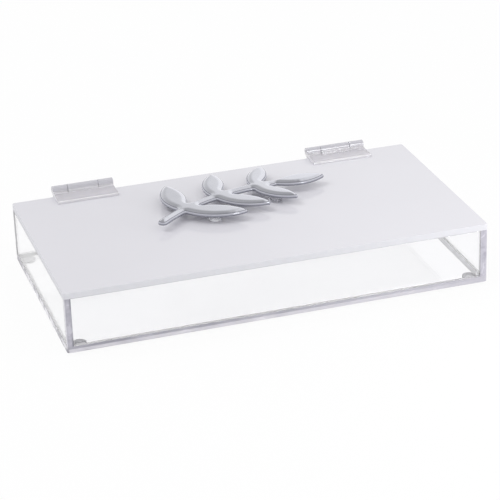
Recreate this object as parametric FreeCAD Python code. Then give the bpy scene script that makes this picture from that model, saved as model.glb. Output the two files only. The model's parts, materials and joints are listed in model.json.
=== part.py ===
import FreeCAD, Part
import math
import os

# A low clear acrylic storage box: five cemented panels on clear feet, a white lid on two clear
# hinges, and a mirrored leaf sprig raised on clear spacers over the lid.
# Millimetres. +X is to the right, +Y to the back, +Z up. The origin is on the surface that the
# feet stand on, in the middle of the whole footprint, hinge barrels included.

# Panels
box_width = 300.0
box_depth = 161.0
base_thickness = 4.5
wall_thickness = 4.5
wall_height = 34.8
box_corner_radius = 2.0
lid_thickness = 4.5
lid_corner_radius = 2.0
lid_edge_rounding = 0.5
lid_back_clearance = 0.3

# Feet: round discs with their lower edge softened, set in from the sides of the base
foot_diameter = 9.5
foot_height = 2.0
foot_inset = 10.25
foot_edge_rounding = 0.4

# Hinges: set in from the ends of the box; the leaf width runs from the box's back edge
hinge_inset = 30.5
hinge_length = 45.0
leaf_width = 15.5
leaf_thickness = 2.0
leaf_chamfer = 0.6
barrel_radius = 3.0
barrel_clearance = 0.5
outer_knuckle_length = 11.0
knuckle_gap = 0.3
notch_clearance = 0.3
pin_radius = 1.0
pin_running_clearance = 0.05
pin_end_recess = 0.4

# Sprig over the lid: a bowed stem with pairs of pointed leaves and one leaf at its end
spacer_diameter = 10.0
spacer_height = 5.0
sprig_thickness = 3.5
sprig_edge_rounding = 1.0
sprig_corner_rounding = 1.6
sprig_turn = 22.0
sprig_centre_x = -16.0
sprig_centre_y = 8.0
stem_chord = 98.0
stem_bow = 9.0
stem_width = 7.0
leaf_pairs = 3
first_pair_place = 22.0
last_pair_to_end = 15.0
first_pair_length = 47.0
last_pair_length = 38.0
end_leaf_length = 41.0
leaf_slimness = 0.38
leaf_lean = 55.0

# Heights of the stacked pieces
base_bottom = foot_height
base_top = base_bottom + base_thickness
wall_top = base_top + wall_height
lid_top = wall_top + lid_thickness
spacer_top = lid_top + spacer_height

# The hinge axis stands clear of the lid's top face and of the back wall's outer face alike
axis_offset = barrel_radius + barrel_clearance
hinge_overhang = axis_offset + barrel_radius
front_y = -(box_depth + hinge_overhang) / 2
back_y = front_y + box_depth
centre_y = (front_y + back_y) / 2
axis_y = back_y + axis_offset
axis_z = lid_top + axis_offset

# The centre knuckle fills the barrel between the outer ones and their gaps
centre_knuckle_inset = outer_knuckle_length + knuckle_gap
centre_knuckle_length = hinge_length - 2 * centre_knuckle_inset

UP = FreeCAD.Vector(0, 0, 1)
ALONG_X = FreeCAD.Vector(1, 0, 0)
SAME_PLACE = 1e-6
LEAST_CORNER = math.radians(1)


def box_between(low, high):
    """Block from its lowest corner to its highest corner."""
    size = [b - a for a, b in zip(low, high)]
    return Part.makeBox(*size, FreeCAD.Vector(*low))


def edges_at_height(solid, height):
    """The edges that lie flat at one height."""
    return [
        edge for edge in solid.Edges
        if abs(edge.BoundBox.ZMin - height) < SAME_PLACE
        and abs(edge.BoundBox.ZMax - height) < SAME_PLACE
    ]


def upright_corners(solid):
    """The upright edges of a plate where its outline turns a corner."""
    corners = []
    for edge in solid.Edges:
        if max(edge.BoundBox.XLength, edge.BoundBox.YLength) > SAME_PLACE:
            continue
        sides = solid.ancestorsOfType(edge, Part.Face)
        normals = [side.normalAt(*side.Surface.parameter(edge.CenterOfMass)) for side in sides]
        if normals[0].getAngle(normals[1]) > LEAST_CORNER:
            corners.append(edge)
    return corners


def rounded_side(panel, x):
    """A panel with its upright corners at one side of the box rounded."""
    corners = [edge for edge in upright_corners(panel) if abs(edge.CenterOfMass.x - x) < SAME_PLACE]
    return panel.makeFillet(box_corner_radius, corners)


def box_panels():
    """Base sheet with four walls on it; the side walls run the full depth and turn the corners."""
    half = box_width / 2
    inner = half - wall_thickness
    front_inner = front_y + wall_thickness
    back_inner = back_y - wall_thickness
    base = box_between((-half, front_y, base_bottom), (half, back_y, base_top))
    left_wall = box_between((-half, front_y, base_top), (-inner, back_y, wall_top))
    right_wall = box_between((inner, front_y, base_top), (half, back_y, wall_top))
    return {
        "base_panel": rounded_side(rounded_side(base, -half), half),
        "left_wall": rounded_side(left_wall, -half),
        "right_wall": rounded_side(right_wall, half),
        "front_wall": box_between((-inner, front_y, base_top), (inner, front_inner, wall_top)),
        "back_wall": box_between((-inner, back_inner, base_top), (inner, back_y, wall_top)),
    }


def lid_panel():
    """White sheet, flush with the walls, with rounded corners and eased edges."""
    half = box_width / 2
    sheet = box_between((-half, front_y, wall_top), (half, back_y - lid_back_clearance, lid_top))
    sheet = sheet.makeFillet(lid_corner_radius, upright_corners(sheet))
    rims = edges_at_height(sheet, lid_top) + edges_at_height(sheet, wall_top)
    return sheet.makeFillet(lid_edge_rounding, rims)


def feet():
    """Clear round feet under the four corners of the base."""
    reach_x = box_width / 2 - foot_inset
    reach_y = box_depth / 2 - foot_inset
    made = {}
    for end, y_sign in (("front", -1), ("back", 1)):
        for side, x_sign in (("left", -1), ("right", 1)):
            centre = FreeCAD.Vector(x_sign * reach_x, centre_y + y_sign * reach_y, 0)
            foot = Part.makeCylinder(foot_diameter / 2, foot_height, centre)
            foot = foot.makeFillet(foot_edge_rounding, edges_at_height(foot, 0))
            made[f"foot_{end}_{side}"] = foot
    return made


def axis_rod(start_x, length, radius):
    """Round rod on the hinge axis: a knuckle, a pin, or the hole that a pin goes through."""
    return Part.makeCylinder(radius, length, FreeCAD.Vector(start_x, axis_y, axis_z), ALONG_X)


def chamfered_at(leaf, y, z):
    """Leaf with the long edge at one place bevelled."""
    edges = [
        edge for edge in leaf.Edges
        if edge.BoundBox.XLength > hinge_length - SAME_PLACE
        and math.hypot(edge.CenterOfMass.y - y, edge.CenterOfMass.z - z) < SAME_PLACE
    ]
    return leaf.makeChamfer(leaf_chamfer, edges)


def lid_leaf(start_x):
    """Plate flat on the lid, stopped short of its back edge, with a tongue to each outer knuckle."""
    top = lid_top + leaf_thickness
    far_y = back_y - leaf_width
    notch_y = back_y - notch_clearance
    leaf = box_between((start_x, far_y, lid_top), (start_x + hinge_length, notch_y, top))
    for x in (start_x, start_x + hinge_length - outer_knuckle_length):
        tongue = box_between((x, notch_y, lid_top), (x + outer_knuckle_length, axis_y, top))
        leaf = leaf.fuse([tongue, axis_rod(x, outer_knuckle_length, barrel_radius)])
    leaf = leaf.cut(axis_rod(start_x, hinge_length, pin_radius + pin_running_clearance))
    return chamfered_at(leaf.removeSplitter(), far_y, top)


def box_leaf(start_x):
    """Plate flat on the back wall, stopped below the lid's top, with a tongue to the centre knuckle."""
    back = back_y + leaf_thickness
    far_z = lid_top - leaf_width
    notch_z = lid_top - notch_clearance
    x = start_x + centre_knuckle_inset
    leaf = box_between((start_x, back_y, far_z), (start_x + hinge_length, back, notch_z))
    tongue = box_between((x, back_y, notch_z), (x + centre_knuckle_length, back, axis_z))
    leaf = leaf.fuse([tongue, axis_rod(x, centre_knuckle_length, barrel_radius)])
    leaf = leaf.cut(axis_rod(x, centre_knuckle_length, pin_radius))
    return chamfered_at(leaf.removeSplitter(), back, far_z)


def hinge_pin(start_x):
    """Pin held by the centre knuckle; the outer knuckles turn on it."""
    return axis_rod(start_x + pin_end_recess, hinge_length - 2 * pin_end_recess, pin_radius)


def hinges():
    """The two hinges, alike, one towards each end of the back edge."""
    left_start = -box_width / 2 + hinge_inset
    made = {}
    for side, start_x in (("left", left_start), ("right", -left_start - hinge_length)):
        made[f"{side}_hinge_lid_leaf"] = lid_leaf(start_x)
        made[f"{side}_hinge_box_leaf"] = box_leaf(start_x)
        made[f"{side}_hinge_pin"] = hinge_pin(start_x)
    return made


# The sprig is drawn flat, with the chord of its stem along X and centred on the origin
stem_radius = (stem_chord ** 2 / 4 + stem_bow ** 2) / (2 * stem_bow)
stem_half_angle = math.asin(stem_chord / 2 / stem_radius)
stem_length = 2 * stem_radius * stem_half_angle


def heading_vector(degrees):
    """Unit vector in plan."""
    angle = math.radians(degrees)
    return FreeCAD.Vector(math.cos(angle), math.sin(angle), 0)


def stem_point(distance):
    """Place and heading, in degrees, at a distance along the stem's centre line."""
    angle = distance / stem_radius - stem_half_angle
    x = stem_radius * math.sin(angle)
    y = stem_radius * (math.cos(angle) - math.cos(stem_half_angle))
    return FreeCAD.Vector(x, y, 0), -math.degrees(angle)


def stem_face():
    """Bowed band of even width with round ends."""
    half = stem_width / 2
    start, start_heading = stem_point(0)
    middle, middle_heading = stem_point(stem_length / 2)
    end, end_heading = stem_point(stem_length)
    start_side = heading_vector(start_heading + 90) * half
    middle_side = heading_vector(middle_heading + 90) * half
    end_side = heading_vector(end_heading + 90) * half
    start_cap = start - heading_vector(start_heading) * half
    end_cap = end + heading_vector(end_heading) * half
    outline = [
        Part.Arc(start + start_side, middle + middle_side, end + end_side),
        Part.Arc(end + end_side, end_cap, end - end_side),
        Part.Arc(end - end_side, middle - middle_side, start - start_side),
        Part.Arc(start - start_side, start_cap, start + start_side),
    ]
    return Part.Face(Part.Wire([arc.toShape() for arc in outline]))


def leaf_places():
    """Root, heading and length of each leaf: the pairs along the stem, then the one at its end."""
    places = []
    stretch = stem_length - first_pair_place - last_pair_to_end
    for pair in range(leaf_pairs):
        share = pair / (leaf_pairs - 1)
        root, heading = stem_point(first_pair_place + share * stretch)
        length = first_pair_length + share * (last_pair_length - first_pair_length)
        places.append((root, heading + leaf_lean, length))
        places.append((root, heading - leaf_lean, length))
    root, heading = stem_point(stem_length)
    places.append((root, heading, end_leaf_length))
    return places


def leaf_face(root, heading, length):
    """Pointed leaf between two arcs."""
    tip = root + heading_vector(heading) * length
    middle = (root + tip) * 0.5
    across = heading_vector(heading + 90) * (length * leaf_slimness / 2)
    sides = [Part.Arc(root, middle + across, tip), Part.Arc(tip, middle - across, root)]
    return Part.Face(Part.Wire([arc.toShape() for arc in sides]))


def set_over_lid(shape, height):
    """Turn a flat-drawn shape and lift it to its place over the lid."""
    shape.rotate(FreeCAD.Vector(0, 0, 0), UP, sprig_turn)
    shape.translate(FreeCAD.Vector(sprig_centre_x, sprig_centre_y, height))
    return shape


def sprig():
    """Cut-out plate of stem and leaves, with round corners and a softened top edge."""
    leaves = [leaf_face(*place) for place in leaf_places()]
    (outline,) = stem_face().fuse(leaves).removeSplitter().Faces
    plate = outline.extrude(UP * sprig_thickness)
    plate = plate.makeFillet(sprig_corner_rounding, upright_corners(plate))
    plate = plate.makeFillet(sprig_edge_rounding, edges_at_height(plate, sprig_thickness))
    return set_over_lid(plate, spacer_top)


def spacers():
    """Clear discs under the broad middle of the leaves in the first and last pairs."""
    places = leaf_places()
    last_pair = 2 * (leaf_pairs - 1)
    under = {
        "spacer_left_back": places[0],
        "spacer_left_front": places[1],
        "spacer_right_back": places[last_pair],
        "spacer_right_front": places[last_pair + 1],
    }
    made = {}
    for name, (root, heading, length) in under.items():
        centre = root + heading_vector(heading) * (length / 2)
        disc = Part.makeCylinder(spacer_diameter / 2, spacer_height, centre)
        made[name] = set_over_lid(disc, lid_top)
    return made


nodes = box_panels()
nodes.update(feet())
nodes["lid_panel"] = lid_panel()
nodes.update(hinges())
nodes.update(spacers())
nodes["sprig"] = sprig()

os.makedirs("parts", exist_ok=True)
for node, shape in nodes.items():
    (solid,) = shape.Solids
    solid.exportStep(f"parts/{node}.step")
    print(f"{node}: {solid.Volume:.1f} cubic mm")
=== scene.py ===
import json
import math

import bmesh
import bpy
from mathutils import Matrix, Vector

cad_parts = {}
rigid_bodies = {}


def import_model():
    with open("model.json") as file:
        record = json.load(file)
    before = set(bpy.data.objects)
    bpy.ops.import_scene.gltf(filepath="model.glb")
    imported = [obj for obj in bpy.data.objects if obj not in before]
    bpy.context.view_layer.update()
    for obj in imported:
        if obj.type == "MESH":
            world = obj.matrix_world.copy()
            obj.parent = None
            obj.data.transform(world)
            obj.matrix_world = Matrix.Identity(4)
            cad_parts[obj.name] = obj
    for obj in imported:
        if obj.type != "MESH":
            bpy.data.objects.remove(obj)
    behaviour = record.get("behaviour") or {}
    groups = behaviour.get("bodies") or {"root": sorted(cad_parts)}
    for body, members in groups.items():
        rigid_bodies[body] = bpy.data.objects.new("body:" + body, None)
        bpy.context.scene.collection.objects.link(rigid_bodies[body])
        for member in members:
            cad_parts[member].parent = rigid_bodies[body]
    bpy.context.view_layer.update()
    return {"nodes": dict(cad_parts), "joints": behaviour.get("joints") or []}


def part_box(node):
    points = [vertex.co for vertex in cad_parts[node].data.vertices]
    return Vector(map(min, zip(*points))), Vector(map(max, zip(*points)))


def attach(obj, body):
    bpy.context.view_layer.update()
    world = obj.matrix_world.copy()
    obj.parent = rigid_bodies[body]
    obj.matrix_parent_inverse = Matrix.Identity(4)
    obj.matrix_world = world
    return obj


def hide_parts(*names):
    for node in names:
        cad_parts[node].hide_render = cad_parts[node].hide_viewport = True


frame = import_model()

MM = 0.001
FILM = 0.04 * MM  # cement film between sheets, so that no two clear faces lie in one plane
ARRIS = 0.25 * MM  # the sharp edges of a cut sheet, broken with a scraper
CORNER = 2.0 * MM  # the rounding of the upright corners of the box and the lid
BORDER = 6.8 * MM  # the border round the underside of the base, which carries the walls' painted shadow
CREEP = 0.8 * MM  # how far cement has crept from a joint over the face next to it
NEAR = 0.1 * MM  # how close to a joint a place counts as being in it
SPRIG_RIM = 53.0 * MM  # the height at which the sprig's upright side turns into its domed top
WELD = 0.002 * MM  # corners of a solid's facets that are closer than this are one
ACRYLIC_IOR = 1.49
POLYURETHANE_IOR = 1.5

# How far a face is turned towards an axis, as the least share of its normal
SQUARE_ON = 0.97
MOSTLY = 0.9
PARTLY = 0.3
SLIGHTLY = 0.1

# Angles between faces: from where an edge is sharp, and up to where it is shaded smooth or left out
SAWN_EDGE = math.radians(60)
MOULDED_EDGE = math.radians(40)
SMOOTH_UP_TO = math.radians(35)
FLAT_UP_TO = math.radians(1)

# Places in a sheet's list of finishes. The third is a wall's cement, the base's border of painted shadow or
# the lid's underside.
POLISHED = 0
SAWN = 1
CEMENTED = SHADOW_BORDER = UNDERSIDE = 2

# Faces of the box that its pieces and their finishes share
base_low, base_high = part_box("base_panel")
side_x, back_y, base_top = base_high
front_y = base_low[1]
inner_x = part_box("front_wall")[1][0]
back_inner_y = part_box("back_wall")[0][1]

# Places on the hinges and the sprig
axis_y, axis_z = frame["joints"][0]["pos_m"][1:]
leaf_low, leaf_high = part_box("right_hinge_lid_leaf")
leaf_middle_x = (leaf_low[0] + leaf_high[0]) / 2
leaf_reach_x = (leaf_high[0] - leaf_low[0]) / 2
barrel_radius = leaf_high[2] - axis_z
sprig_low, sprig_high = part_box("sprig")

# A noise keeps mostly to the middle of its range: nearly all of that, and a narrower part for more contrast
MOST_OF_NOISE = {"From Min": 0.3, "From Max": 0.7}
MID_NOISE = {"From Min": 0.35, "From Max": 0.65}

# The sockets of a Mix node go by number, because several of them share a name
FACTOR = 0
NUMBER_A = 2
NUMBER_B = 3
COLOUR_A = 6
COLOUR_B = 7
MIXED_NUMBER = 0
MIXED = 2


def linear(hex_colour):
    """An sRGB hex colour as linear red, green, blue and alpha."""
    values = [int(hex_colour[i:i + 2], 16) / 255 for i in (1, 3, 5)]
    return tuple(v / 12.92 if v <= 0.04045 else ((v + 0.055) / 1.055) ** 2.4 for v in values) + (1.0,)


def add_node(tree, kind, inputs=None, links=None, **settings):
    """Adds a node, sets its properties and sockets, and links what feeds it."""
    node = tree.nodes.new(kind)
    for name, value in settings.items():
        setattr(node, name, value)
    for name, value in (inputs or {}).items():
        node.inputs[name].default_value = value
    for name, socket in (links or {}).items():
        tree.links.new(socket, node.inputs[name])
    return node


def new_material(name):
    """An empty material with its node tree and its object coordinates."""
    material = bpy.data.materials.new(name)
    material.use_nodes = True
    tree = material.node_tree
    tree.nodes.clear()
    coords = add_node(tree, "ShaderNodeTexCoord").outputs["Object"]
    return material, tree, coords


def per_mm(size):
    """The texture scale that makes one feature of a pattern so many millimetres wide."""
    return 1 / (size * MM)


def mottled_material(name, spot, detail, colours, roughness, finish):
    """A material whose colour and gloss vary together in soft spots so many millimetres wide. The finish
    is what else its shader is set to."""
    material, tree, coords = new_material(name)
    spots = add_node(tree, "ShaderNodeTexNoise", {"Scale": per_mm(spot), "Detail": detail},
                     {"Vector": coords})
    colour = add_node(tree, "ShaderNodeMix", {COLOUR_A: linear(colours[0]), COLOUR_B: linear(colours[1])},
                      {FACTOR: spots.outputs["Fac"]}, data_type="RGBA")
    rough = add_node(tree, "ShaderNodeMapRange", {"To Min": roughness[0], "To Max": roughness[1]},
                     {"Value": spots.outputs["Fac"]})
    shader = add_node(tree, "ShaderNodeBsdfPrincipled", finish,
                      {"Base Color": colour.outputs[MIXED], "Roughness": rough.outputs["Result"]})
    add_node(tree, "ShaderNodeOutputMaterial", links={"Surface": shader.outputs["BSDF"]})
    return material


# Cast acrylic sheet, polished as cast: water clear, with a very slight unevenness in its gloss
# from handling, and a long, shallow waviness that bends what it reflects.
polished_sheet, tree, coords = new_material("cast_acrylic_polished")
smudge = add_node(tree, "ShaderNodeTexNoise", {"Scale": per_mm(28), "Detail": 3.0}, {"Vector": coords})
gloss = add_node(tree, "ShaderNodeMapRange", {"To Min": 0.0, "To Max": 0.03},
                 {"Value": smudge.outputs["Fac"]})
wave = add_node(tree, "ShaderNodeTexNoise", {"Scale": per_mm(45), "Detail": 0.0}, {"Vector": coords})
ripple = add_node(tree, "ShaderNodeBump", {"Strength": 0.03, "Distance": 0.4 * MM},
                  {"Height": wave.outputs["Fac"]})
shader = add_node(tree, "ShaderNodeBsdfPrincipled",
                  {"Base Color": linear("#FEFEFF"), "IOR": ACRYLIC_IOR, "Transmission Weight": 1.0},
                  {"Roughness": gloss.outputs["Result"], "Normal": ripple.outputs["Normal"]})
add_node(tree, "ShaderNodeOutputMaterial", links={"Surface": shader.outputs["BSDF"]})

# Cast acrylic sheet, sawn wall end: fine saw marks scatter the light that runs along inside the sheet,
# so an end reads as a patchy lilac-grey band. At the outer corner on the left it is painted lighter, a
# painted highlight for the light that the rounded corner catches. There the joint with the next wall shows
# as a dark streak too, solid near its head and foot and broken in between.
sawn_end, tree, coords = new_material("cast_acrylic_sawn_end")
place = add_node(tree, "ShaderNodeSeparateXYZ", links={"Vector": coords})
patch = add_node(tree, "ShaderNodeTexNoise", {"Scale": per_mm(5), "Detail": 3.0, "Distortion": 0.6},
                 {"Vector": coords})
tone = add_node(tree, "ShaderNodeMapRange", MOST_OF_NOISE, {"Value": patch.outputs["Fac"]})
colour = add_node(tree, "ShaderNodeMix", {COLOUR_A: linear("#ACAAB6"), COLOUR_B: linear("#CECCD6")},
                  {FACTOR: tone.outputs["Result"]}, data_type="RGBA")
# Painted highlight: the outermost strip of the left corner is painted lighter.
corner = add_node(tree, "ShaderNodeMapRange",
                  {"From Min": 0.9 * MM - side_x, "From Max": 0.1 * MM - side_x},
                  {"Value": place.outputs["X"]})
colour = add_node(tree, "ShaderNodeMix", {COLOUR_B: linear("#F4F2F8")},
                  {FACTOR: corner.outputs["Result"], COLOUR_A: colour.outputs[MIXED]},
                  data_type="RGBA")
out = add_node(tree, "ShaderNodeMath", links={0: place.outputs["X"]}, operation="ABSOLUTE")
inner = add_node(tree, "ShaderNodeMapRange",
                 {"From Min": inner_x + 0.3 * MM, "From Max": inner_x + 1.5 * MM,
                  "To Min": 1.0, "To Max": 0.0}, {"Value": out.outputs["Value"]})
streak = add_node(tree, "ShaderNodeTexNoise", {"Scale": per_mm(7), "Detail": 1.0}, {"Vector": coords})
breaks = add_node(tree, "ShaderNodeMapRange", {"From Min": 0.35, "From Max": 0.55},
                  {"Value": streak.outputs["Fac"]})
breaks = add_node(tree, "ShaderNodeMath", {1: 0.4}, {0: breaks.outputs["Result"]}, operation="MULTIPLY")
head = add_node(tree, "ShaderNodeMapRange", {"From Min": 31 * MM, "From Max": 35 * MM},
                {"Value": place.outputs["Z"]})
foot = add_node(tree, "ShaderNodeMapRange", {"From Min": 15 * MM, "From Max": 12 * MM},
                {"Value": place.outputs["Z"]})
ends = add_node(tree, "ShaderNodeMath", links={0: head.outputs["Result"], 1: foot.outputs["Result"]},
                operation="MAXIMUM")
dark = add_node(tree, "ShaderNodeMath", links={0: ends.outputs["Value"], 1: breaks.outputs["Value"]},
                operation="MAXIMUM")
dark = add_node(tree, "ShaderNodeMath", links={0: dark.outputs["Value"], 1: inner.outputs["Result"]},
                operation="MULTIPLY")
left = add_node(tree, "ShaderNodeMath", {1: 0.0}, {0: place.outputs["X"]}, operation="LESS_THAN")
dark = add_node(tree, "ShaderNodeMath", links={0: dark.outputs["Value"], 1: left.outputs["Value"]},
                operation="MULTIPLY")
colour = add_node(tree, "ShaderNodeMix", {COLOUR_B: linear("#92919B")},
                  {FACTOR: dark.outputs["Value"], COLOUR_A: colour.outputs[MIXED]},
                  data_type="RGBA")
rough = add_node(tree, "ShaderNodeMapRange", {"To Min": 0.15, "To Max": 0.35},
                 {"Value": patch.outputs["Fac"]})
shader = add_node(tree, "ShaderNodeBsdfPrincipled", {"IOR": ACRYLIC_IOR, "Transmission Weight": 0.05},
                  {"Base Color": colour.outputs[MIXED], "Roughness": rough.outputs["Result"]})
add_node(tree, "ShaderNodeOutputMaterial", links={"Surface": shader.outputs["BSDF"]})

# Cast acrylic sheet, sawn base edge: the same saw-cut haze, streaky along the edge. Its upper part is
# darker and its lower part is pale; the upper part is painted lighter towards the right as painted light,
# and towards the right both run into one grey. The left side has painted light and shade: white and grey
# mottling for the bright floor and its shade seen through the edge.
base_edge, tree, coords = new_material("cast_acrylic_sawn_base_edge")
place = add_node(tree, "ShaderNodeSeparateXYZ", links={"Vector": coords})
stretch = add_node(tree, "ShaderNodeMapping", {"Scale": (0.2, 0.2, 1.0)}, {"Vector": coords})
patch = add_node(tree, "ShaderNodeTexNoise", {"Scale": per_mm(4), "Detail": 3.0},
                 {"Vector": stretch.outputs["Vector"]})
tone = add_node(tree, "ShaderNodeMapRange", MOST_OF_NOISE, {"Value": patch.outputs["Fac"]})
above = add_node(tree, "ShaderNodeMix", {COLOUR_A: linear("#A3A1AD"), COLOUR_B: linear("#C2C0CA")},
                 {FACTOR: tone.outputs["Result"]}, data_type="RGBA")
# Painted light: the upper part lightens towards the right.
paler = add_node(tree, "ShaderNodeMapRange",
                 {"From Min": -100 * MM, "From Max": 110 * MM, "To Max": 0.6},
                 {"Value": place.outputs["X"]})
above = add_node(tree, "ShaderNodeMix", {COLOUR_B: linear("#D0CED6")},
                 {FACTOR: paler.outputs["Result"], COLOUR_A: above.outputs[MIXED]},
                 data_type="RGBA")
below = add_node(tree, "ShaderNodeMix", {COLOUR_A: linear("#D6D4DC"), COLOUR_B: linear("#EEECF2")},
                 {FACTOR: tone.outputs["Result"]}, data_type="RGBA")
upper = add_node(tree, "ShaderNodeMapRange",
                 {"From Min": base_top - 2.1 * MM, "From Max": base_top - 1.5 * MM},
                 {"Value": place.outputs["Z"]})
colour = add_node(tree, "ShaderNodeMix",
                  links={FACTOR: upper.outputs["Result"], COLOUR_A: below.outputs[MIXED],
                         COLOUR_B: above.outputs[MIXED]}, data_type="RGBA")
right = add_node(tree, "ShaderNodeMapRange",
                 {"From Min": 60 * MM, "From Max": 145 * MM, "To Max": 0.85},
                 {"Value": place.outputs["X"]})
colour = add_node(tree, "ShaderNodeMix", {COLOUR_B: linear("#C6C4CD")},
                  {FACTOR: right.outputs["Result"], COLOUR_A: colour.outputs[MIXED]},
                  data_type="RGBA")
blobs = add_node(tree, "ShaderNodeTexNoise", {"Scale": per_mm(8), "Detail": 1.0, "Distortion": 0.5},
                 {"Vector": coords})
blobs = add_node(tree, "ShaderNodeMapRange", {"From Min": 0.44, "From Max": 0.56},
                 {"Value": blobs.outputs["Fac"]})
# Painted light and shade on the left side: mottled white and grey for the floor seen through the edge.
painted_floor_glimpse = add_node(tree, "ShaderNodeMix", {COLOUR_A: linear("#A5A3AC"), COLOUR_B: linear("#F1EFF5")},
                  {FACTOR: blobs.outputs["Result"]}, data_type="RGBA")
left = add_node(tree, "ShaderNodeMapRange",
                {"From Min": 1.5 * MM - side_x, "From Max": 0.7 * MM - side_x},
                {"Value": place.outputs["X"]})
colour = add_node(tree, "ShaderNodeMix",
                  links={FACTOR: left.outputs["Result"], COLOUR_A: colour.outputs[MIXED],
                         COLOUR_B: painted_floor_glimpse.outputs[MIXED]}, data_type="RGBA")
rough = add_node(tree, "ShaderNodeMapRange", {"To Min": 0.15, "To Max": 0.35},
                 {"Value": patch.outputs["Fac"]})
shader = add_node(tree, "ShaderNodeBsdfPrincipled", {"IOR": ACRYLIC_IOR, "Transmission Weight": 0.05},
                  {"Base Color": colour.outputs[MIXED], "Roughness": rough.outputs["Result"]})
add_node(tree, "ShaderNodeOutputMaterial", links={"Surface": shader.outputs["BSDF"]})

# Cast acrylic sheet, edge joined with solvent cement: the cement wets most of the edge and leaves small
# bubbles and dry spots, which show as light and dark mottling in the joint. The upright joints are
# milky, the foot of the front wall turns milky towards the right, and the left wall's joints are greyer.
cement_joint, tree, coords = new_material("cast_acrylic_cement_joint")
place = add_node(tree, "ShaderNodeSeparateXYZ", links={"Vector": coords})
bubbles = add_node(tree, "ShaderNodeTexNoise", {"Scale": per_mm(4), "Detail": 2.0, "Distortion": 0.8},
                   {"Vector": coords})
dry = add_node(tree, "ShaderNodeMapRange", MID_NOISE, {"Value": bubbles.outputs["Fac"]})
colour = add_node(tree, "ShaderNodeMix", {COLOUR_A: linear("#F2F0F6"), COLOUR_B: linear("#FFFFFF")},
                  {FACTOR: dry.outputs["Result"]}, data_type="RGBA")
clear = add_node(tree, "ShaderNodeMapRange", {**MID_NOISE, "To Min": 0.5, "To Max": 0.7},
                 {"Value": bubbles.outputs["Fac"]})
out = add_node(tree, "ShaderNodeMath", links={0: place.outputs["X"]}, operation="ABSOLUTE")
upright = add_node(tree, "ShaderNodeMath", {1: inner_x - 0.03 * MM, 2: 0.06 * MM},
                   {0: out.outputs["Value"]}, operation="COMPARE")
clear = add_node(tree, "ShaderNodeMix", {NUMBER_B: 0.1},
                 {FACTOR: upright.outputs["Value"], NUMBER_A: clear.outputs["Result"]}, data_type="FLOAT")
right = add_node(tree, "ShaderNodeMapRange", {"From Min": 60 * MM, "From Max": 140 * MM},
                 {"Value": place.outputs["X"]})
within = add_node(tree, "ShaderNodeMath", {1: inner_x - NEAR}, {0: place.outputs["X"]},
                  operation="LESS_THAN")
right = add_node(tree, "ShaderNodeMath", links={0: right.outputs["Result"], 1: within.outputs["Value"]},
                 operation="MULTIPLY")
under = add_node(tree, "ShaderNodeMath", {1: base_top + 0.5 * MM}, {0: place.outputs["Z"]},
                 operation="LESS_THAN")
right = add_node(tree, "ShaderNodeMath", links={0: right.outputs["Value"], 1: under.outputs["Value"]},
                 operation="MULTIPLY")
colour = add_node(tree, "ShaderNodeMix", {COLOUR_B: linear("#E8E6EC")},
                  {FACTOR: right.outputs["Value"], COLOUR_A: colour.outputs[MIXED]},
                  data_type="RGBA", blend_type="MULTIPLY")
clear = add_node(tree, "ShaderNodeMix", {NUMBER_B: 0.12},
                 {FACTOR: right.outputs["Value"], NUMBER_A: clear.outputs[MIXED_NUMBER]}, data_type="FLOAT")
left = add_node(tree, "ShaderNodeMath", {1: NEAR - inner_x}, {0: place.outputs["X"]},
                operation="LESS_THAN")
tint = add_node(tree, "ShaderNodeMix", {COLOUR_A: linear("#CBC9D2"), COLOUR_B: linear("#9A98A2")},
                {FACTOR: upright.outputs["Value"]}, data_type="RGBA")
colour = add_node(tree, "ShaderNodeMix",
                  links={FACTOR: left.outputs["Value"], COLOUR_A: colour.outputs[MIXED],
                         COLOUR_B: tint.outputs[MIXED]}, data_type="RGBA", blend_type="MULTIPLY")
shader = add_node(tree, "ShaderNodeBsdfPrincipled", {"IOR": ACRYLIC_IOR, "Roughness": 0.25},
                  {"Base Color": colour.outputs[MIXED],
                   "Transmission Weight": clear.outputs[MIXED_NUMBER]})
add_node(tree, "ShaderNodeOutputMaterial", links={"Surface": shader.outputs["BSDF"]})

# Cast acrylic sheet, border painted with shadow: a pale, partly clear band under the joints of the base
# that stands in for the shadow the walls cast on the floor, seen through the sheet along the foot of each
# wall. The painted shadow is dark grey along the back, and clearer towards the right wall.
painted_wall_shadow, tree, coords = new_material("cast_acrylic_hazed_border")
place = add_node(tree, "ShaderNodeSeparateXYZ", links={"Vector": coords})
shadow_mottle = add_node(tree, "ShaderNodeTexNoise", {"Scale": per_mm(5), "Detail": 3.0, "Distortion": 0.5},
                 {"Vector": coords})
tone = add_node(tree, "ShaderNodeMapRange", MOST_OF_NOISE, {"Value": shadow_mottle.outputs["Fac"]})
colour = add_node(tree, "ShaderNodeMix", {COLOUR_A: linear("#F6F5F8"), COLOUR_B: linear("#FFFFFF")},
                  {FACTOR: tone.outputs["Result"]}, data_type="RGBA")
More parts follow.
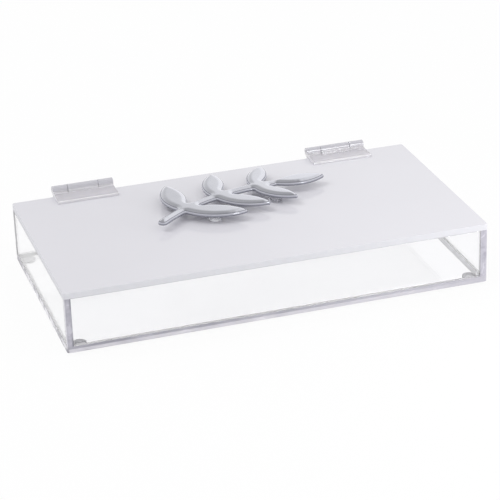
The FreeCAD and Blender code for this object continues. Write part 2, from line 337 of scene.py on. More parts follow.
# Painted shadow along the back wall: dark grey, and hardly clear.
painted_back_shadow = add_node(tree, "ShaderNodeMapRange",
                {"From Min": back_y - 8.25 * MM, "From Max": back_y - 7.25 * MM},
                {"Value": place.outputs["Y"]})
colour = add_node(tree, "ShaderNodeMix", {COLOUR_B: linear("#66656D")},
                  {FACTOR: painted_back_shadow.outputs["Result"], COLOUR_A: colour.outputs[MIXED]},
                  data_type="RGBA")
clear = add_node(tree, "ShaderNodeMapRange",
                 {"From Min": side_x - BORDER, "From Max": inner_x, "To Min": 0.4, "To Max": 0.62},
                 {"Value": place.outputs["X"]})
clear = add_node(tree, "ShaderNodeMix", {NUMBER_B: 0.1},
                 {FACTOR: painted_back_shadow.outputs["Result"], NUMBER_A: clear.outputs["Result"]}, data_type="FLOAT")
shader = add_node(tree, "ShaderNodeBsdfPrincipled", {"IOR": ACRYLIC_IOR, "Roughness": 0.3},
                  {"Base Color": colour.outputs[MIXED],
                   "Transmission Weight": clear.outputs[MIXED_NUMBER]})
add_node(tree, "ShaderNodeOutputMaterial", links={"Surface": shader.outputs["BSDF"]})

# Opal white acrylic sheet, gloss face: an even cool white with a deep shine, which is broken only
# by faint clouding of the pigment and a slight orange peel.
opal_gloss, tree, coords = new_material("opal_acrylic_gloss")
cloud = add_node(tree, "ShaderNodeTexNoise", {"Scale": per_mm(60), "Detail": 4.0}, {"Vector": coords})
colour = add_node(tree, "ShaderNodeMix", {COLOUR_A: linear("#DFDEE4"), COLOUR_B: linear("#E3E2E8")},
                  {FACTOR: cloud.outputs["Fac"]}, data_type="RGBA")
peel = add_node(tree, "ShaderNodeTexNoise", {"Scale": per_mm(14), "Detail": 1.0}, {"Vector": coords})
bump = add_node(tree, "ShaderNodeBump", {"Strength": 0.02, "Distance": 0.2 * MM},
                {"Height": peel.outputs["Fac"]})
rough = add_node(tree, "ShaderNodeMapRange", {"To Min": 0.07, "To Max": 0.13},
                 {"Value": cloud.outputs["Fac"]})
shader = add_node(tree, "ShaderNodeBsdfPrincipled", {"IOR": ACRYLIC_IOR},
                  {"Base Color": colour.outputs[MIXED], "Roughness": rough.outputs["Result"],
                   "Normal": bump.outputs["Normal"]})
add_node(tree, "ShaderNodeOutputMaterial", links={"Surface": shader.outputs["BSDF"]})

# Opal white acrylic sheet, gloss face turned away from the light: daylight comes through the sheet and
# spreads in it, and this face's colour is painted whiter than the upper one's, as painted light for that
# glow.
opal_under = mottled_material(
    "opal_acrylic_gloss_underside", spot=60, detail=4.0, colours=("#F4F4F7", "#F9F9FB"),
    roughness=(0.07, 0.13), finish={"IOR": ACRYLIC_IOR, "Subsurface Weight": 1.0,
                                    "Subsurface Radius": (1, 1, 1), "Subsurface Scale": 8 * MM})

# Opal white acrylic sheet, sawn edge: the same white, a little greyer, and matt from the saw.
opal_edge = mottled_material(
    "opal_acrylic_sawn_edge", spot=6, detail=3.0, colours=("#DADADF", "#E3E3E8"),
    roughness=(0.4, 0.6), finish={"IOR": ACRYLIC_IOR, "Specular IOR Level": 0.2})

# Mirrored acrylic, cut to shape and doming-coated: a cool silver with a pillowed top and soft
# reflections. Its cut side is hardly metallic, and its colour there is painted shade and reflection by
# height:
# dark at the back, where shade falls under it, lightening upwards to a pale band of painted reflection,
# with one painted dark line between that band and the mirror.
silver, tree, coords = new_material("mirrored_acrylic_domed_silver")
place = add_node(tree, "ShaderNodeSeparateXYZ", links={"Vector": coords})
haze = add_node(tree, "ShaderNodeTexNoise", {"Scale": per_mm(9), "Detail": 3.0}, {"Vector": coords})
colour = add_node(tree, "ShaderNodeMix", {COLOUR_A: linear("#DCDDE6"), COLOUR_B: linear("#E6E7EE")},
                  {FACTOR: haze.outputs["Fac"]}, data_type="RGBA")
layer = add_node(tree, "ShaderNodeMapRange", {"From Min": sprig_low[2], "From Max": sprig_high[2]},
                 {"Value": place.outputs["Z"]})
# Painted shade and reflection on the cut side, by height: dark at the foot, a pale band, a dark line below
# the mirror.
painted_side_shading = add_node(tree, "ShaderNodeValToRGB", links={"Fac": layer.outputs["Result"]})
stops = painted_side_shading.color_ramp.elements
stops[0].color = linear("#77777F")
stops[1].color = linear("#FFFFFF")
painted_side_tones = [(0.12, "#95959B"), (0.3, "#B9B9BE"), (0.44, "#D0D0D4"), (0.5, "#ECECEE"), (0.56, "#ECECEE"),
              (0.6, "#A6A6AC"), (0.64, "#A6A6AC"), (0.7, "#FFFFFF")]
for spot, painted_tone in painted_side_tones:
    stops.new(spot).color = linear(painted_tone)
colour = add_node(tree, "ShaderNodeMix", {FACTOR: 1.0},
                  {COLOUR_A: colour.outputs[MIXED], COLOUR_B: painted_side_shading.outputs["Color"]},
                  data_type="RGBA", blend_type="MULTIPLY")
wave = add_node(tree, "ShaderNodeTexNoise", {"Scale": per_mm(14), "Detail": 1.0}, {"Vector": coords})
bump = add_node(tree, "ShaderNodeBump", {"Strength": 0.12, "Distance": 0.4 * MM},
                {"Height": wave.outputs["Fac"]})
rough = add_node(tree, "ShaderNodeMapRange", {"To Min": 0.08, "To Max": 0.16},
                 {"Value": haze.outputs["Fac"]})
silvered = add_node(tree, "ShaderNodeMapRange",
                    {"From Min": SPRIG_RIM - 0.05 * MM, "From Max": SPRIG_RIM + 0.15 * MM, "To Min": 0.2},
                    {"Value": place.outputs["Z"]})
shader = add_node(tree, "ShaderNodeBsdfPrincipled",
                  links={"Base Color": colour.outputs[MIXED], "Roughness": rough.outputs["Result"],
                         "Metallic": silvered.outputs["Result"], "Normal": bump.outputs["Normal"]})
add_node(tree, "ShaderNodeOutputMaterial", links={"Surface": shader.outputs["BSDF"]})

# Mirrored acrylic, back sprayed with protective paint: an even, matt pale grey with a fine grain.
back_paint = mottled_material(
    "mirrored_acrylic_back_paint", spot=1.5, detail=3.0, colours=("#D6D6DA", "#E2E2E6"),
    roughness=(0.5, 0.7), finish={})

# Acrylic, injection moulded: hazy in the thin leaf, with flow lines along it, milky where the leaf is
# cut or turns up into the barrel, and greyer in the thick barrel, which is painted lighter underneath as
# painted light against the shade there. The chamfer at the leaf's front is painted lighter, a painted
# highlight.
moulded_hinge, tree, coords = new_material("acrylic_moulded_hinge")
place = add_node(tree, "ShaderNodeSeparateXYZ", links={"Vector": coords})
stretch = add_node(tree, "ShaderNodeMapping", {"Scale": (0.03, 1.0, 1.0)}, {"Vector": coords})
flow = add_node(tree, "ShaderNodeTexNoise", {"Scale": per_mm(3), "Detail": 1.0},
                {"Vector": stretch.outputs["Vector"]})
lines = add_node(tree, "ShaderNodeMapRange", MID_NOISE, {"Value": flow.outputs["Fac"]})
colour = add_node(tree, "ShaderNodeMix", {COLOUR_A: linear("#F8F6FC"), COLOUR_B: linear("#FEFCFF")},
                  {FACTOR: lines.outputs["Result"]}, data_type="RGBA")
front = add_node(tree, "ShaderNodeMapRange",
                 {"From Min": leaf_low[1] + 0.85 * MM, "From Max": leaf_low[1] + 0.55 * MM},
                 {"Value": place.outputs["Y"]})
end = add_node(tree, "ShaderNodeMath", links={0: place.outputs["X"]}, operation="ABSOLUTE")
end = add_node(tree, "ShaderNodeMath", {1: leaf_middle_x}, {0: end.outputs["Value"]}, operation="SUBTRACT")
end = add_node(tree, "ShaderNodeMath", links={0: end.outputs["Value"]}, operation="ABSOLUTE")
end = add_node(tree, "ShaderNodeMath", {1: leaf_reach_x - 0.2 * MM}, {0: end.outputs["Value"]},
               operation="GREATER_THAN")
cut = add_node(tree, "ShaderNodeMath", links={0: front.outputs["Result"], 1: end.outputs["Value"]},
               operation="MAXIMUM")
behind = add_node(tree, "ShaderNodeMath", {1: back_y - 1.05 * MM}, {0: place.outputs["Y"]},
                  operation="GREATER_THAN")
above = add_node(tree, "ShaderNodeMath", {1: leaf_low[2] - NEAR}, {0: place.outputs["Z"]},
                 operation="GREATER_THAN")
web = add_node(tree, "ShaderNodeMath", links={0: behind.outputs["Value"], 1: above.outputs["Value"]},
               operation="MULTIPLY")
cut = add_node(tree, "ShaderNodeMath", links={0: cut.outputs["Value"], 1: web.outputs["Value"]},
               operation="MAXIMUM")
colour = add_node(tree, "ShaderNodeMix", {COLOUR_B: linear("#F8F7FB")},
                  {FACTOR: cut.outputs["Value"], COLOUR_A: colour.outputs[MIXED]},
                  data_type="RGBA")
high = add_node(tree, "ShaderNodeMapRange",
                {"From Min": leaf_low[2] + 1.1 * MM, "From Max": leaf_low[2] + 1.4 * MM},
                {"Value": place.outputs["Z"]})
# Painted highlight in the front chamfer.
lip = add_node(tree, "ShaderNodeMath", links={0: front.outputs["Result"], 1: high.outputs["Result"]},
               operation="MULTIPLY")
colour = add_node(tree, "ShaderNodeMix", {COLOUR_B: linear("#FDFCFF")},
                  {FACTOR: lip.outputs["Value"], COLOUR_A: colour.outputs[MIXED]},
                  data_type="RGBA")
off_axis = add_node(tree, "ShaderNodeVectorMath", {1: (0, axis_y, axis_z)}, {0: coords},
                    operation="SUBTRACT")
off_axis = add_node(tree, "ShaderNodeVectorMath", {1: (0, 1, 1)}, {0: off_axis.outputs["Vector"]},
                    operation="MULTIPLY")
radius = add_node(tree, "ShaderNodeVectorMath", links={0: off_axis.outputs["Vector"]}, operation="LENGTH")
thick = add_node(tree, "ShaderNodeMapRange",
                 {"From Min": barrel_radius + 0.1 * MM, "From Max": barrel_radius + 0.4 * MM,
                  "To Min": 1.0, "To Max": 0.0}, {"Value": radius.outputs["Value"]})
barrel = add_node(tree, "ShaderNodeMix", {COLOUR_A: linear("#D6D5DC"), COLOUR_B: linear("#E4E3EA")},
                  {FACTOR: lines.outputs["Result"]}, data_type="RGBA")
# Painted light: the barrel lightens underneath, against the shade there.
under = add_node(tree, "ShaderNodeMapRange",
                 {"From Min": axis_z + 0.7 * MM, "From Max": axis_z - 1.5 * MM},
                 {"Value": place.outputs["Z"]})
barrel = add_node(tree, "ShaderNodeMix", {COLOUR_B: linear("#FCFBFD")},
                  {FACTOR: under.outputs["Result"], COLOUR_A: barrel.outputs[MIXED]},
                  data_type="RGBA")
colour = add_node(tree, "ShaderNodeMix",
                  links={FACTOR: thick.outputs["Result"], COLOUR_A: colour.outputs[MIXED],
                         COLOUR_B: barrel.outputs[MIXED]}, data_type="RGBA")
milky = add_node(tree, "ShaderNodeMath", links={0: thick.outputs["Result"], 1: cut.outputs["Value"]},
                 operation="MAXIMUM")
clear = add_node(tree, "ShaderNodeMapRange", {"To Min": 0.6, "To Max": 0.25},
                 {"Value": milky.outputs["Value"]})
bump = add_node(tree, "ShaderNodeBump", {"Strength": 0.1, "Distance": 0.2 * MM},
                {"Height": flow.outputs["Fac"]})
rough = add_node(tree, "ShaderNodeMapRange", {"To Min": 0.05, "To Max": 0.15},
                 {"Value": flow.outputs["Fac"]})
shader = add_node(tree, "ShaderNodeBsdfPrincipled", {"IOR": ACRYLIC_IOR},
                  {"Base Color": colour.outputs[MIXED], "Roughness": rough.outputs["Result"],
                   "Transmission Weight": clear.outputs["Result"], "Normal": bump.outputs["Normal"]})
add_node(tree, "ShaderNodeOutputMaterial", links={"Surface": shader.outputs["BSDF"]})

# Acrylic rod, sawn into slices and set with cement: clear, slightly hazed.
rod_slice = mottled_material(
    "acrylic_rod_slice", spot=2.5, detail=2.0, colours=("#DADAE0", "#EFEFF3"),
    roughness=(0.05, 0.2), finish={"IOR": ACRYLIC_IOR, "Transmission Weight": 0.85})

# Clear polyurethane, cast into bumpers: soft and hazy, a touch grey, satin where it has been pressed.
soft_foot = mottled_material(
    "polyurethane_cast_foot", spot=2.2, detail=2.0, colours=("#D6D5DB", "#E6E5EA"),
    roughness=(0.1, 0.28), finish={"IOR": POLYURETHANE_IOR, "Transmission Weight": 0.35})


def start_piece(name):
    """Names the primitive just added and moves its place into its mesh."""
    piece = bpy.context.object
    piece.name = piece.data.name = name
    bpy.ops.object.transform_apply(location=True, rotation=True, scale=True)
    return piece


def middle_of(low, high):
    """The point halfway between two corners."""
    return [(a + b) / 2 for a, b in zip(low, high)]


def block(name, low, high):
    """A plain block between two corners, left in edit mode to be shaped."""
    bpy.ops.object.select_all(action="DESELECT")
    bpy.ops.mesh.primitive_cube_add(size=1, location=middle_of(low, high),
                                    scale=[b - a for a, b in zip(low, high)])
    piece = start_piece(name)
    bpy.ops.object.mode_set(mode="EDIT")
    return piece


def choose(piece, kind, test):
    """In edit mode, selects the verts or edges that pass a test on their place, normal or faces."""
    bpy.ops.mesh.select_mode(type={"verts": "VERT", "edges": "EDGE"}[kind])
    bpy.ops.mesh.select_all(action="DESELECT")
    mesh = bmesh.from_edit_mesh(piece.data)
    for part in getattr(mesh, kind):
        if test(part):
            part.select_set(True)
    mesh.select_flush_mode()
    bmesh.update_edit_mesh(piece.data)


def finish_piece(piece, materials, pick, body, slot, *nodes):
    """Gives each face its material by its normal and place, smooths the piece, and hangs it on its body."""
    for material in materials:
        piece.data.materials.append(material)
    for face in piece.data.polygons:
        face.material_index = pick(face.normal, face.center) if pick else 0
    bpy.ops.object.select_all(action="DESELECT")
    piece.select_set(True)
    bpy.context.view_layer.objects.active = piece
    bpy.ops.object.shade_smooth_by_angle(angle=SMOOTH_UP_TO)
    piece.modifiers.new("flat_faces_stay_flat", "WEIGHTED_NORMAL").keep_sharp = True
    bpy.ops.object.modifier_apply(modifier="flat_faces_stay_flat")
    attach(piece, body)
    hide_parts(*nodes)


def is_upright(edge):
    """Whether an edge stands straight up."""
    return abs((edge.verts[1].co - edge.verts[0].co).normalized().z) > SQUARE_ON


def sheet(node, film_low, film_high, rounded, joined, cuts, materials, pick):
    """A panel cut to its node, drawn back by a cement film on the sides named. Its upright corners are
    rounded where the test on their place says, its other sharp edges are broken unless they are joined to
    another panel, and its faces are divided along the cuts, each a point and a normal."""
    low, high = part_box(node)
    low = [v + FILM * on for v, on in zip(low, film_low)]
    high = [v - FILM * on for v, on in zip(high, film_high)]
    panel = block(node + "_sheet", low, high)
    if rounded:
        choose(panel, "edges", lambda edge: is_upright(edge) and rounded(edge.verts[0].co))
        bpy.ops.mesh.bevel(offset=CORNER, segments=8, affect="EDGES")
    choose(panel, "edges", lambda edge: edge.calc_face_angle() > SAWN_EDGE
           and not joined((edge.verts[0].co + edge.verts[1].co) / 2))
    bpy.ops.mesh.bevel(offset=ARRIS, segments=2, affect="EDGES")
    for point, normal in cuts:
        bpy.ops.mesh.select_all(action="SELECT")
        bpy.ops.mesh.bisect(plane_co=point, plane_no=normal)
    bpy.ops.object.mode_set(mode="OBJECT")
    finish_piece(panel, materials, pick, "box", "clear_acrylic", node)


def on_base(place):
    """Whether a place on the base panel is in its joint with the walls."""
    return place.z > base_top - NEAR


def on_side_wall(place):
    """Whether a place on a side wall is in its joint with the base, or at the edge of a joint with a wall
    between the side walls."""
    at_end = place.y < front_y + NEAR or place.y > back_y - NEAR
    return place.z < base_top + NEAR or (abs(place.x) < inner_x + NEAR and at_end)


def on_cross_wall(place):
    """Whether a place on the front or back wall is in its joint with the base or with a side wall."""
    return place.z < base_top + NEAR or abs(place.x) > inner_x - NEAR


def base_faces(normal, centre):
    """Sawn on the edges, with the walls' painted shadow along the border of the underside, and polished
    elsewhere.
    """
    if abs(normal.z) < SQUARE_ON:
        return SAWN
    in_border = (abs(centre.x) > side_x - BORDER or centre.y < front_y + BORDER
                 or centre.y > back_y - BORDER)
    return SHADOW_BORDER if normal.z < 0 and in_border else POLISHED


def side_wall_faces(normal, centre):
    """Cemented underneath, where cement has crept up the outside and where the back wall meets the inside;
    sawn on the ends and on top, and polished elsewhere."""
    sideways = abs(normal.x) > SQUARE_ON
    crept = sideways and abs(centre.x) > side_x - NEAR and centre.z < base_top + CREEP
    bonded = sideways and abs(centre.x) < inner_x + NEAR and centre.y > back_inner_y
    if normal.z < -PARTLY or crept or bonded:
        return CEMENTED
    return SAWN if abs(normal.y) > SLIGHTLY or normal.z > MOSTLY else POLISHED


def cross_wall_faces(normal, centre):
    """Sawn on top and, at the right end, where cement has crept over the face to the front; cemented at the
    ends, underneath and where it has crept over the face to the back; polished elsewhere."""
    crept = centre.x > inner_x - CREEP
    if normal.z > MOSTLY or (crept and normal.y < -MOSTLY):
        return SAWN
    return CEMENTED if crept or abs(normal.x) > PARTLY or normal.z < -PARTLY else POLISHED


def lid_faces(normal, centre):
    """Glossy above and below, and sawn at the edges."""
    if abs(normal.z) < SQUARE_ON:
        return SAWN
    return POLISHED if normal.z > 0 else UNDERSIDE


wall_finishes = [polished_sheet, sawn_end, cement_joint]
border_cuts = [((base_low[0] + BORDER, 0, 0), (1, 0, 0)), ((side_x - BORDER, 0, 0), (1, 0, 0)),
               ((0, front_y + BORDER, 0), (0, 1, 0)), ((0, back_y - BORDER, 0), (0, 1, 0))]
side_wall_cuts = [((0, 0, base_top + CREEP), (0, 0, 1)), ((0, back_inner_y, 0), (0, 1, 0))]
front_wall_cuts = [((inner_x - CREEP, 0, 0), (1, 0, 0))]
sheet("base_panel", (0, 0, 1), (0, 0, 0), lambda place: True, on_base, border_cuts,
      [polished_sheet, base_edge, painted_wall_shadow], base_faces)
sheet("left_wall", (0, 0, 1), (0, 0, 1), lambda place: place.x < NEAR - side_x, on_side_wall,
      side_wall_cuts, wall_finishes, side_wall_faces)
sheet("right_wall", (0, 0, 1), (0, 0, 1), lambda place: place.x > side_x - NEAR, on_side_wall,
      side_wall_cuts, wall_finishes, side_wall_faces)
sheet("front_wall", (1, 0, 1), (1, 0, 1), None, on_cross_wall, front_wall_cuts, wall_finishes,
      cross_wall_faces)
sheet("back_wall", (1, 0, 1), (1, 1, 1), None, on_cross_wall, [], wall_finishes, cross_wall_faces)

# The lid: an opal sheet with rounded corners, a softened upper rim and a crisper lower one.
LID_RIM = 0.5 * MM
LID_FOOT = 0.15 * MM
low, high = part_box("lid_panel")
high[2] -= FILM
middle = (low[2] + high[2]) / 2
lid = block("lid_sheet", low, high)
choose(lid, "edges", is_upright)
bpy.ops.mesh.bevel(offset=CORNER, segments=8, affect="EDGES")
choose(lid, "edges", lambda edge: min(vert.co.z for vert in edge.verts) > middle)
bpy.ops.mesh.bevel(offset=LID_RIM, segments=4, affect="EDGES")
choose(lid, "edges", lambda edge: max(vert.co.z for vert in edge.verts) < middle)
bpy.ops.mesh.bevel(offset=LID_FOOT, segments=2, affect="EDGES")
bpy.ops.object.mode_set(mode="OBJECT")
finish_piece(lid, [opal_gloss, opal_edge, opal_under], lid_faces, "lid", "white_acrylic", "lid_panel")


def copy_to(pattern, name, shift):
    """A copy of a finished shape with its own mesh, moved within its mesh."""
    piece = bpy.data.objects.new(name, pattern.data.copy())
    piece.data.name = name
    piece.data.transform(Matrix.Translation(shift))
    bpy.context.scene.collection.objects.link(piece)
    return piece


def discs(nodes, ending, film, rim_top, rim_bottom, material, body, slot):
    """Round slugs standing on end, short by a film on top, with a rounded rim above and below. The first
    node's is modelled, and the others are copies of it."""
    low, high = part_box(nodes[0])
    top = [high[0], high[1], high[2] - film]
    bpy.ops.object.select_all(action="DESELECT")
    bpy.ops.mesh.primitive_cylinder_add(vertices=48, radius=(top[0] - low[0]) / 2, depth=top[2] - low[2],
                                        location=middle_of(low, top))
    first = start_piece(nodes[0] + ending)
    middle = (low[2] + top[2]) / 2
    bpy.ops.object.mode_set(mode="EDIT")
    choose(first, "edges", lambda edge: min(vert.co.z for vert in edge.verts) > middle)
    bpy.ops.mesh.bevel(offset=rim_top, segments=3, affect="EDGES")
    choose(first, "edges", lambda edge: max(vert.co.z for vert in edge.verts) < middle)
    bpy.ops.mesh.bevel(offset=rim_bottom, segments=4, affect="EDGES")
    bpy.ops.object.mode_set(mode="OBJECT")
    pieces = [first]
    for node in nodes[1:]:
        pieces.append(copy_to(first, node + ending, Vector(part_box(node)[0]) - Vector(low)))
    for piece, node in zip(pieces, nodes):
        finish_piece(piece, [material], None, body, slot, node)


# Four round feet under the base, and four spacers between the lid and the sprig.
discs(["foot_front_left", "foot_front_right", "foot_back_left", "foot_back_right"], "_bumper",
      film=0, rim_top=0.25 * MM, rim_bottom=0.6 * MM, material=soft_foot, body="box",
      slot="clear_polyurethane")
discs(["spacer_left_back", "spacer_left_front", "spacer_right_back", "spacer_right_front"], "_slice",
      film=FILM, rim_top=0.2 * MM, rim_bottom=0.2 * MM, material=rod_slice, body="lid",
      slot="spacer_acrylic")

# Two hinge pins, a film thinner than their bores, with rounded ends.
PIN_END = 0.25 * MM
pin_nodes = ["left_hinge_pin", "right_hinge_pin"]
low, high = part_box(pin_nodes[0])
bpy.ops.object.select_all(action="DESELECT")
bpy.ops.mesh.primitive_cylinder_add(vertices=32, radius=(high[2] - low[2]) / 2 - FILM,
                                    depth=high[0] - low[0], location=middle_of(low, high),
                                    rotation=(0, math.pi / 2, 0))
first_pin = start_piece("left_hinge_pin_rod")
bpy.ops.object.mode_set(mode="EDIT")
choose(first_pin, "edges", lambda edge: abs(edge.verts[1].co.x - edge.verts[0].co.x) < NEAR)
bpy.ops.mesh.bevel(offset=PIN_END, segments=3, affect="EDGES")
bpy.ops.object.mode_set(mode="OBJECT")
second_pin = copy_to(first_pin, "right_hinge_pin_rod", Vector(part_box(pin_nodes[1])[0]) - Vector(low))
for pin, node in zip([first_pin, second_pin], pin_nodes):
    finish_piece(pin, [moulded_hinge], None, "box", "hinge_acrylic", node)


def solid_copy(node, name):
    """A copy of a node's solid as a piece of its own, its loose facets joined; left in edit mode with all
    of it selected."""
    bpy.ops.object.select_all(action="DESELECT")
    piece = bpy.data.objects.new(name, frame["nodes"][node].data.copy())
    piece.data.name = name
    piece.data.materials.clear()
    bpy.context.scene.collection.objects.link(piece)
    piece.select_set(True)
    bpy.context.view_layer.objects.active = piece
    bpy.ops.mesh.customdata_custom_splitnormals_clear()
    bpy.ops.object.mode_set(mode="EDIT")
    bpy.ops.mesh.select_all(action="SELECT")
    bpy.ops.mesh.remove_doubles(threshold=WELD)
    return piece


def relax(piece, name, factor, times, group="", heights_only=False):
    """Evens out a piece's surface, or only the points of a group, or only their heights."""
    smooth = piece.modifiers.new(name, "SMOOTH")
    smooth.factor = factor
    smooth.iterations = times
    smooth.vertex_group = group
    smooth.use_x = smooth.use_y = not heights_only
    bpy.ops.object.modifier_apply(modifier=name)


def stretch_heights(level, share):
    """In edit mode, scales the height of what is selected over a level, and then leaves edit mode."""
    bpy.ops.transform.resize(value=(1, 1, share), center_override=(0, 0, level))
    bpy.ops.object.mode_set(mode="OBJECT")


# The sprig: its solid lowered to its rim and remade of small even facets, then its top lifted and
# relaxed into a shallow dome that meets the height of the solid again.
FACET = 0.4 * MM
sprig = solid_copy("sprig", "sprig_plate")
stretch_heights(sprig_low[2], (SPRIG_RIM - sprig_low[2]) / (sprig_high[2] - sprig_low[2]))
facets = sprig.modifiers.new("even_facets", "REMESH")
facets.mode = "VOXEL"
facets.voxel_size = FACET
bpy.ops.object.modifier_apply(modifier="even_facets")
relax(sprig, "soft_edges", factor=0.5, times=4)
bpy.ops.object.mode_set(mode="EDIT")
choose(sprig, "verts", lambda vert: vert.normal.z > MOSTLY)
bpy.ops.mesh.select_less()
bpy.ops.object.vertex_group_add()
bpy.ops.object.vertex_group_assign()
bpy.ops.transform.translate(value=(0, 0, sprig_high[2] - SPRIG_RIM))
bpy.ops.object.mode_set(mode="OBJECT")
relax(sprig, "domed_top", factor=0.8, times=50, group=sprig.vertex_groups.active.name, heights_only=True)
relax(sprig, "soft_rim", factor=0.5, times=2)
crown = max(vert.co.z for vert in sprig.data.vertices)
bpy.ops.object.mode_set(mode="EDIT")
stretch_heights(SPRIG_RIM, (sprig_high[2] - SPRIG_RIM) / (crown - SPRIG_RIM))
sprig.data.materials.append(silver)
sprig.data.materials.append(back_paint)
for face in sprig.data.polygons:
    face.material_index = 1 if face.normal.z < -MOSTLY else 0
bpy.ops.object.shade_smooth()
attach(sprig, "lid")
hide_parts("sprig")

# The hinge leaves: their solids with every moulded edge slightly rounded.
LEAF_ARRIS = 0.15 * MM
for side in ("left", "right"):
    for body in ("lid", "box"):
        node = f"{side}_hinge_{body}_leaf"
        leaf = solid_copy(node, node + "_moulding")
        bpy.ops.mesh.dissolve_limited(angle_limit=FLAT_UP_TO)
        choose(leaf, "edges", lambda edge: edge.calc_face_angle() > MOULDED_EDGE)
        bpy.ops.mesh.bevel(offset=LEAF_ARRIS, segments=2, affect="EDGES", clamp_overlap=True)
        bpy.ops.object.mode_set(mode="OBJECT")
        finish_piece(leaf, [moulded_hinge], None, body, "hinge_acrylic", node)

# A white sweep to stand on: it keeps a faint shadow, and reads as white in glass and silver too.
FLOOR_SIZE = 8  # metres
bpy.ops.object.select_all(action="DESELECT")
bpy.ops.mesh.primitive_plane_add(size=FLOOR_SIZE, location=(0, 0, -FILM))
floor = start_piece("floor")
sweep, tree, coords = new_material("studio_paper_white")
light_path = add_node(tree, "ShaderNodeLightPath")
seen = add_node(tree, "ShaderNodeMath", operation="MAXIMUM",
                links={0: light_path.outputs["Is Camera Ray"], 1: light_path.outputs["Is Glossy Ray"]})
share = add_node(tree, "ShaderNodeMath", {1: 0.94}, {0: seen.outputs["Value"]}, operation="MULTIPLY")
share = add_node(tree, "ShaderNodeMath", operation="MAXIMUM",
                 links={0: share.outputs["Value"], 1: light_path.outputs["Is Transmission Ray"]})
grain = add_node(tree, "ShaderNodeTexNoise", {"Scale": per_mm(90), "Detail": 4.0}, {"Vector": coords})
colour = add_node(tree, "ShaderNodeMix", {COLOUR_A: linear("#F2F2F3"), COLOUR_B: linear("#F7F7F8")},
                  {FACTOR: grain.outputs["Fac"]}, data_type="RGBA")
matt = add_node(tree, "ShaderNodeBsdfDiffuse", links={"Color": colour.outputs[MIXED]})
glow = add_node(tree, "ShaderNodeEmission", {"Color": (1, 1, 1, 1), "Strength": 1.0})
mixed = add_node(tree, "ShaderNodeMixShader",
                 links={"Fac": share.outputs["Value"], 1: matt.outputs["BSDF"], 2: glow.outputs["Emission"]})
add_node(tree, "ShaderNodeOutputMaterial", links={"Surface": mixed.outputs["Shader"]})
floor.data.materials.append(sweep)

# The room: white where it is seen, also through glass. In a mirror it is pale grey, darker overhead and
# towards the front, and it brightens to the right, never above white. Its light on the object is soft.
world = bpy.data.worlds.new("white_studio")
bpy.context.scene.world = world
world.use_nodes = True
tree = world.node_tree
tree.nodes.clear()
light_path = add_node(tree, "ShaderNodeLightPath")
seen = add_node(tree, "ShaderNodeMath", operation="MAXIMUM",
                links={0: light_path.outputs["Is Camera Ray"],
                       1: light_path.outputs["Is Transmission Ray"]})
mirrored = add_node(tree, "ShaderNodeMath", operation="SUBTRACT", use_clamp=True,
                    links={0: light_path.outputs["Is Glossy Ray"],
                           1: light_path.outputs["Is Transmission Ray"]})
ambient = add_node(tree, "ShaderNodeMapRange", {"To Min": 0.77, "To Max": 1.0},
                   {"Value": seen.outputs["Value"]})
around = add_node(tree, "ShaderNodeTexCoord").outputs["Generated"]
direction = add_node(tree, "ShaderNodeSeparateXYZ", links={"Vector": around})
overhead = add_node(tree, "ShaderNodeMapRange",
                    {"From Min": 0.05, "From Max": 0.8, "To Min": 1.0, "To Max": 0.58},
                    {"Value": direction.outputs["Z"]}, interpolation_type="SMOOTHSTEP")
front = add_node(tree, "ShaderNodeMapRange",
                 {"From Min": 0.3, "From Max": -0.3, "To Min": 1.0, "To Max": 0.78},
                 {"Value": direction.outputs["Y"]}, interpolation_type="SMOOTHSTEP")
right = add_node(tree, "ShaderNodeMapRange",
                 {"From Min": 0.2, "From Max": 0.37, "To Min": 0.78, "To Max": 1.45},
                 {"Value": direction.outputs["X"]})
grade = add_node(tree, "ShaderNodeMath", links={0: overhead.outputs["Result"], 1: front.outputs["Result"]},
                 operation="MULTIPLY")
grade = add_node(tree, "ShaderNodeMath", links={0: grade.outputs["Value"], 1: right.outputs["Result"]},
                 operation="MULTIPLY", use_clamp=True)
strength = add_node(tree, "ShaderNodeMix",
                    links={FACTOR: mirrored.outputs["Value"], NUMBER_A: ambient.outputs["Result"],
                           NUMBER_B: grade.outputs["Value"]}, data_type="FLOAT")
room = add_node(tree, "ShaderNodeBackground", {"Color": (1, 1, 1, 1)},
                {"Strength": strength.outputs[MIXED_NUMBER]})
add_node(tree, "ShaderNodeOutputWorld", links={"Surface": room.outputs["Background"]})


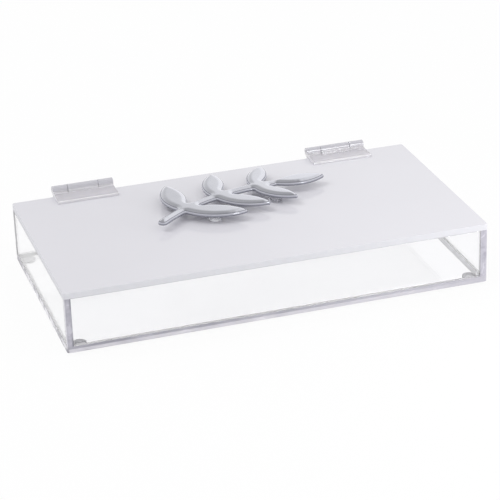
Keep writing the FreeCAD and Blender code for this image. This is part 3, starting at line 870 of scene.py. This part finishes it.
def softbox(name, place, aim, width, height, watts, in_mirrors):
    """A lamp at a place, turned to face a point. It either lights matt surfaces or shows in glossy ones."""
    lamp = bpy.data.lights.new(name, "AREA")
    lamp.shape = "RECTANGLE"
    lamp.size = width
    lamp.size_y = height
    lamp.energy = watts
    box = bpy.data.objects.new(name, lamp)
    facing = (Vector(aim) - Vector(place)).to_track_quat("-Z", "Y")
    box.matrix_world = Matrix.Translation(place) @ facing.to_matrix().to_4x4()
    box.visible_glossy = in_mirrors
    box.visible_diffuse = not in_mirrors
    bpy.context.scene.collection.objects.link(box)


softbox("right_softbox", place=(0.85, -0.75, 0.95), aim=(0, 0, 0.04),
        width=0.9, height=0.9, watts=1.4, in_mirrors=False)
softbox("corner_softbox", place=(0.32, -0.34, 0.14), aim=(0.12, -0.08, 0.035),
        width=0.16, height=0.16, watts=0.4, in_mirrors=False)
softbox("left_softbox", place=(-1.4, 0.4, 2.2), aim=(0, 0, 0.04),
        width=1.2, height=1.2, watts=15, in_mirrors=False)
softbox("hinge_glint", place=(0.467, -0.97, 0.495), aim=(0.097, 0.08, 0.05),
        width=0.16, height=0.5, watts=3, in_mirrors=True)

# The camera stands a little left of the front and above, with a long lens and a slight roll.
AZIMUTH = math.radians(-16.96)
ELEVATION = math.radians(24.58)
ROLL = math.radians(-2.06)
DISTANCE = 1469 * MM
TARGET = Vector((-0.22, -12.65, 21.36)) * MM
FOCAL_LENGTH = 150.29  # millimetres
SENSOR_WIDTH = 36  # millimetres
NEAREST = 0.05  # metres from the lens at which the view starts
back = Vector((math.sin(AZIMUTH) * math.cos(ELEVATION), -math.cos(AZIMUTH) * math.cos(ELEVATION),
               math.sin(ELEVATION)))
right = Vector((0, 0, 1)).cross(back).normalized()
up = back.cross(right)
rolled_right = right * math.cos(ROLL) + up * math.sin(ROLL)
rolled_up = up * math.cos(ROLL) - right * math.sin(ROLL)
lens = bpy.data.cameras.new("studio_camera")
lens.lens = FOCAL_LENGTH
lens.sensor_width = SENSOR_WIDTH
lens.clip_start = NEAREST
camera = bpy.data.objects.new("studio_camera", lens)
camera.matrix_world = (Matrix.Translation(TARGET + back * DISTANCE)
                       @ Matrix((rolled_right, rolled_up, back)).transposed().to_4x4())
bpy.context.scene.collection.objects.link(camera)
bpy.context.scene.camera = camera
bpy.context.scene.view_settings.view_transform = "Standard"
